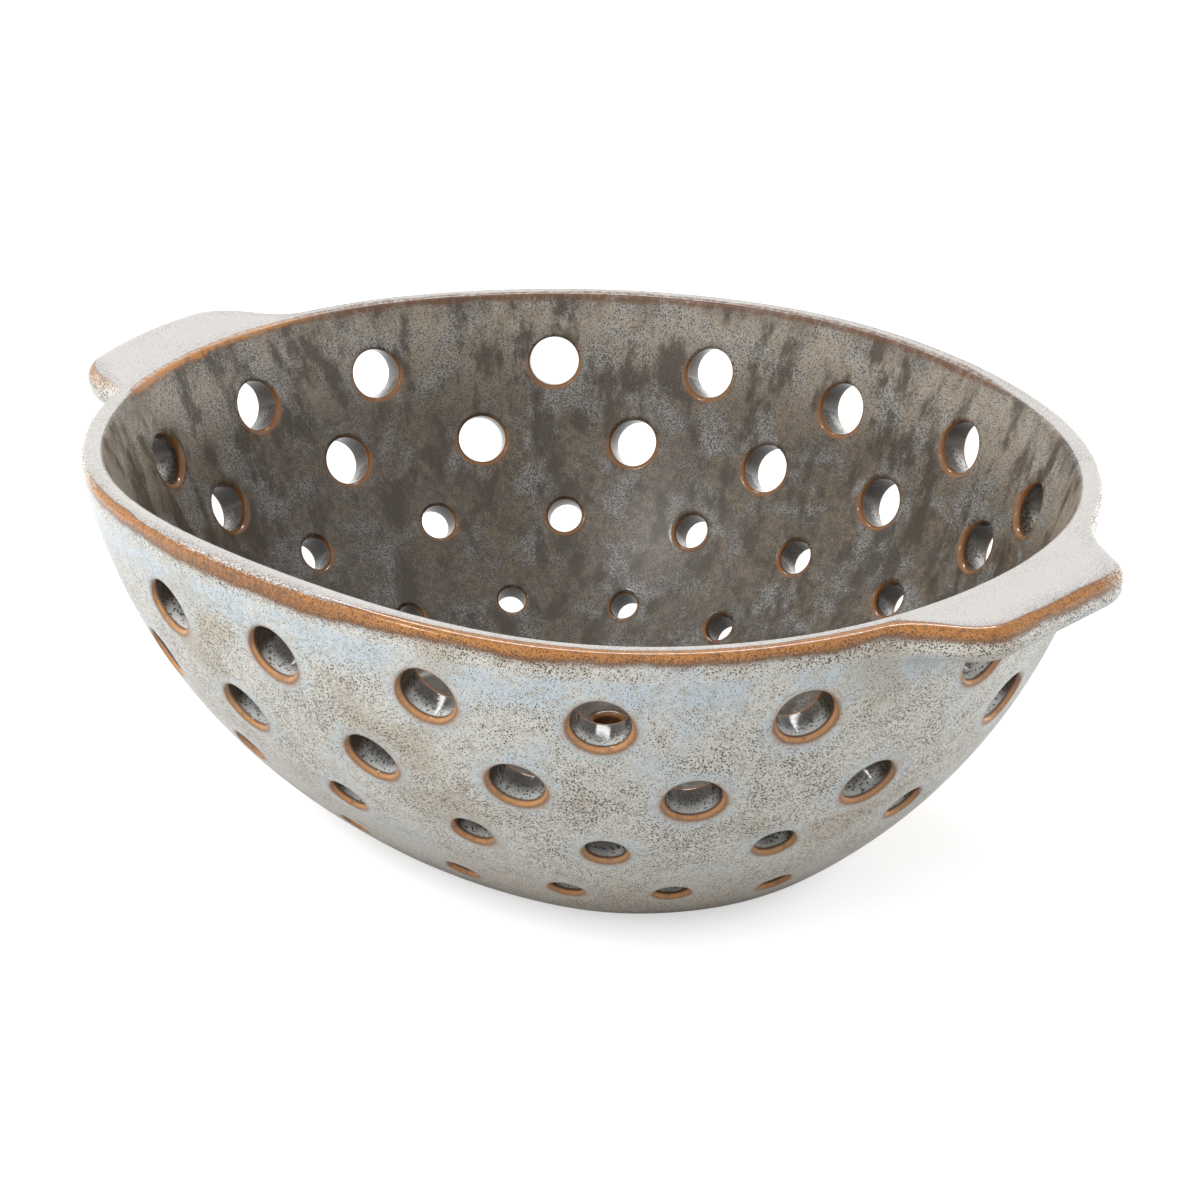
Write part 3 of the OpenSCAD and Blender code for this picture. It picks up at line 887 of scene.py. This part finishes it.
# A lug's section runs from the rim's top out over the top, round the edge, down the face and back under it
# to the wall, and closes inside the wall. Where the lug's reach runs out, it becomes the rim's own section.
def lugSheet(lug):
    psi = lugAngles(lug)
    edge, reach = lugOutline(lug, psi)
    along = np.gradient(edge, axis=0)
    along /= np.linalg.norm(along, axis=1)[:, None]
    outward = np.stack([along[:, 1], -along[:, 0]], -1)
    full = 1 - np.exp(-reach / lugForm["settle"])
    skin = lugForm["proud"] - lugForm["sunk"] * np.exp(-reach / lugForm["sunkReach"])
    top, underRound = bowl["rimTop"], lug["rounds"][1]
    edgeRound = outerRound + (lug["rounds"][0] - outerRound) * full
    under = top - lugForm["thickness"]
    lift = lug["lift"] * reach / reach.max()

    spots, levels, runs, insides = [], [], [], []

    def addRow(plan, height, run, inside):
        spots.append(plan)
        levels.append(np.broadcast_to(height, reach.shape))
        runs.append(np.broadcast_to(run, reach.shape))
        insides.append(np.broadcast_to(inside, reach.shape))

    seam = np.stack(ovalAt(psi, lugForm["seam"] + edgeInset), -1)
    start = edge - edgeRound[:, None] * outward
    for share in lugForm["topShares"]:
        spot = seam + share * (start - seam)
        gap = np.linalg.norm(spot - edge, axis=1)
        inside = np.minimum(gap / lugForm["seam"] * lugForm["topInside"], lugForm["topInside"])
        addRow(spot, top + skin + share * lift, gap - lugForm["edgeStart"], inside)
    for angle in np.linspace(0, math.pi / 2, 8)[1:]:
        inset = edgeRound * (1 - math.sin(angle))
        run = edgeRound * (angle - math.pi / 4)
        height = top - edgeRound * (1 - math.cos(angle)) + lift
        inside = np.maximum(-run, 0) / lugForm["insideRun"]
        addRow(edge + (skin - inset)[:, None] * outward, height, np.abs(run), inside)
    faceTop, faceLow = top - edgeRound, under + underRound
    for height in np.linspace(faceTop, faceLow, 5)[1:]:
        lean = (wallInset(wallDip(height)) - edgeInset) * (1 - full)
        run = edgeRound * math.pi / 4 + faceTop - height
        addRow(edge + (skin - lean)[:, None] * outward, height + lift, run, 0)
    faceRun = edgeRound * math.pi / 4 + faceTop - faceLow
    for angle in np.linspace(0, math.pi / 2, 6)[1:]:
        height = faceLow - underRound * math.sin(angle)
        lean = (wallInset(wallDip(height)) - edgeInset) * (1 - full)
        lean = lean + underRound * (1 - math.cos(angle)) * full
        addRow(edge + (skin - lean)[:, None] * outward, height + lift, faceRun + underRound * angle, 0)
    underSpot = spots[-1]
    hipSpot = np.stack(ovalAt(psi, wallInset(wallDip(under)) - skin), -1)
    wallSpot = np.stack(ovalAt(psi, wallInset(topDip) + lugForm["tuck"]), -1)
    startRun, sweepRun = lugForm["sweepRuns"]
    for share in np.linspace(0, 1, 10)[1:]:
        first, second, third = (1 - share) ** 3, 3 * share * (1 - share), share ** 3
        spot = first * underSpot + second * hipSpot + third * wallSpot
        height = first * (under + lift) + second * under + third * holes["topBorder"]
        addRow(spot, height, faceRun + startRun + sweepRun * share, 0)
    hiddenRows = (
        (lugForm["buried"], holes["topBorder"] + 1),
        (lugForm["buried"], top - 2),
        (lugForm["seam"] + edgeInset + 0.2, top - 1),
    )
    for inset, height in hiddenRows:
        addRow(np.stack(ovalAt(psi, inset), -1), height, lugForm["hiddenRun"], 0)
    points = np.concatenate([np.stack(spots, 1), np.stack(levels, 1)[..., None]], -1)
    return makeSheet(liftRim(points), edgeRun=np.stack(runs, 1), inside=np.stack(insides, 1))


for node, lug in lugs.items():
    makePiece(node.replace("_lug", "Lug"), [lugSheet(lug)], glazePaint, node, capped=True)
print("lugs joined to the rim")

# Foot ring: a low band under the base with rounded lower edges
low = foot["lowRound"]
footArc = np.linspace(0, math.pi / 2, 6)
outerInset, innerInset = foot["insets"]
footInsets = np.concatenate([
    [innerInset],
    innerInset - low * (1 - np.cos(footArc)),
    outerInset + low * (1 - np.sin(footArc)),
    [outerInset, innerInset],
])
footHeights = np.concatenate([
    [foot["height"]],
    low * (1 - np.sin(footArc)),
    low * (1 - np.cos(footArc)),
    [foot["height"], foot["height"]],
])
footSheet = makeSheet(ovalSweep(psiRound, footInsets, footHeights))
makePiece("footRing", [footSheet], clayPaint, "foot_ring")

# Stage: a pale floor that keeps the shadow, and a white surround for the camera and for reflections
stage = {
    "span": 8.0,
    "floor": (0.54, 0.54, 0.54, 1),
    "white": (1, 1, 1, 1),
    "glow": 0.58,  # of the floor by the bowl
    "ambient": 0.28,
    "clear": (0.15, 0.3),  # metres from the bowl over which reflections start to see the glow
    "far": (0.4, 1.6),  # and over which it turns white
    "aim": (0, 0, 0.04),  # what the lights point at
}


def seenRay(tree):
    path = addNode(tree, "LightPath").outputs
    seen = addMath(tree, "MAXIMUM", path["Is Camera Ray"], path["Is Glossy Ray"])
    return addMath(tree, "MAXIMUM", seen, path["Is Transmission Ray"])


# The floor's glow is for the camera, and for reflections away from the bowl; far off it is white.
def floorGlow(tree):
    spot = addNode(tree, "TexCoord").outputs["Object"]
    gap = addNode(tree, "VectorMath", {0: spot}, operation="LENGTH").outputs["Value"]
    away = addEase(tree, gap, *stage["clear"])
    direct = addNode(tree, "LightPath").outputs["Is Camera Ray"]
    share = addMath(tree, "MAXIMUM", direct, addMath(tree, "MULTIPLY", seenRay(tree), away))
    return addMath(tree, "MULTIPLY", share, addEase(tree, gap, *stage["far"], stage["glow"], 1.0))


floorMesh = bpy.data.meshes.new("floor")
half = stage["span"] / 2
floorCorners = [(-half, -half, 0), (half, -half, 0), (half, half, 0), (-half, half, 0)]
floorMesh.from_pydata(floorCorners, [], [(0, 1, 2, 3)])
floorPaint, tree = startPaint("paleFloor")
matt = addNode(tree, "BsdfDiffuse", {"Color": stage["floor"]}).outputs[0]
glow = addNode(tree, "Emission", {"Strength": floorGlow(tree)}).outputs[0]
addNode(tree, "OutputMaterial", {"Surface": addNode(tree, "AddShader", {0: matt, 1: glow}).outputs[0]})
floorMesh.materials.append(floorPaint)
floor = addObject("floor", floorMesh)

world = bpy.data.worlds.new("studio")
bpy.context.scene.world = world
world.use_nodes = True
tree = world.node_tree
tree.nodes.clear()
ambient = addNode(tree, "Background", {"Color": stage["white"], "Strength": stage["ambient"]}).outputs[0]
backdrop = addNode(tree, "Background", {"Color": stage["white"], "Strength": 1.0}).outputs[0]
mixed = addNode(tree, "MixShader", {0: seenRay(tree), 1: ambient, 2: backdrop}).outputs[0]
addNode(tree, "OutputWorld", {"Surface": mixed})

# Soft lights: place, width and height, and power, all aimed at the bowl. Those that give light alone don't
# show in reflections, and the one that gives a gleam shows in nothing else
lamps = {
    "frontSoftbox": {"place": (-0.15, -1.15, 1.05), "size": (1.3, 1.3), "power": 25.5, "gives": "light"},
    "backSoftbox": {"place": (-0.6, 0.7, 0.85), "size": (0.25, 0.25), "power": 4.0, "gives": "light"},
    "leftSoftbox": {"place": (-1.1, -0.3, 0.6), "size": (0.9, 0.9), "power": 8.0, "gives": "light"},
    "rightSoftbox": {"place": (1.05, 0.5, 0.5), "size": (0.9, 0.9), "power": 6.0, "gives": "light"},
    "edgeSoftbox": {"place": (0.3, 1.05, 0.2), "size": (0.7, 0.7), "power": 16.0, "gives": "light"},
    "sparkSoftbox": {"place": (-0.25, -0.8, 0.9), "size": (0.14, 0.14), "power": 1.6, "gives": "both"},
    "gleamSoftbox": {"place": (-0.42, 0.46, 1.0), "size": (0.7, 0.2), "power": 6.5, "gives": "gleam"},
}
for name, lamp in lamps.items():
    light = bpy.data.lights.new(name, "AREA")
    light.shape = "RECTANGLE"
    light.size, light.size_y = lamp["size"]
    light.energy = lamp["power"]
    holder = addObject(name, light)
    holder.location = lamp["place"]
    holder.visible_glossy = lamp["gives"] != "light"
    holder.visible_diffuse = lamp["gives"] != "gleam"
    away = Vector(lamp["place"]) - Vector(stage["aim"])
    holder.rotation_euler = away.to_track_quat("Z", "Y").to_euler()

# Camera at the photograph's angle
shot = {
    "eye": (0.46549, -0.49834, 0.34369),
    "turn": 42.795,
    "fall": 23.573,
    "lens": 104.7,
    "sensor": 36.0,
    "clip": (0.01, 50.0),
}
lens = bpy.data.cameras.new("camera")
lens.lens = shot["lens"]
lens.sensor_width = shot["sensor"]
lens.clip_start, lens.clip_end = shot["clip"]
camera = addObject("camera", lens)
turned = Matrix.Rotation(math.radians(shot["turn"]), 4, "Z")
tilted = Matrix.Rotation(math.radians(90 - shot["fall"]), 4, "X")
camera.matrix_world = Matrix.Translation(shot["eye"]) @ (turned @ tilted)
bpy.context.scene.camera = camera
bpy.context.scene.view_settings.view_transform = "Standard"
print("stage lit and camera placed")
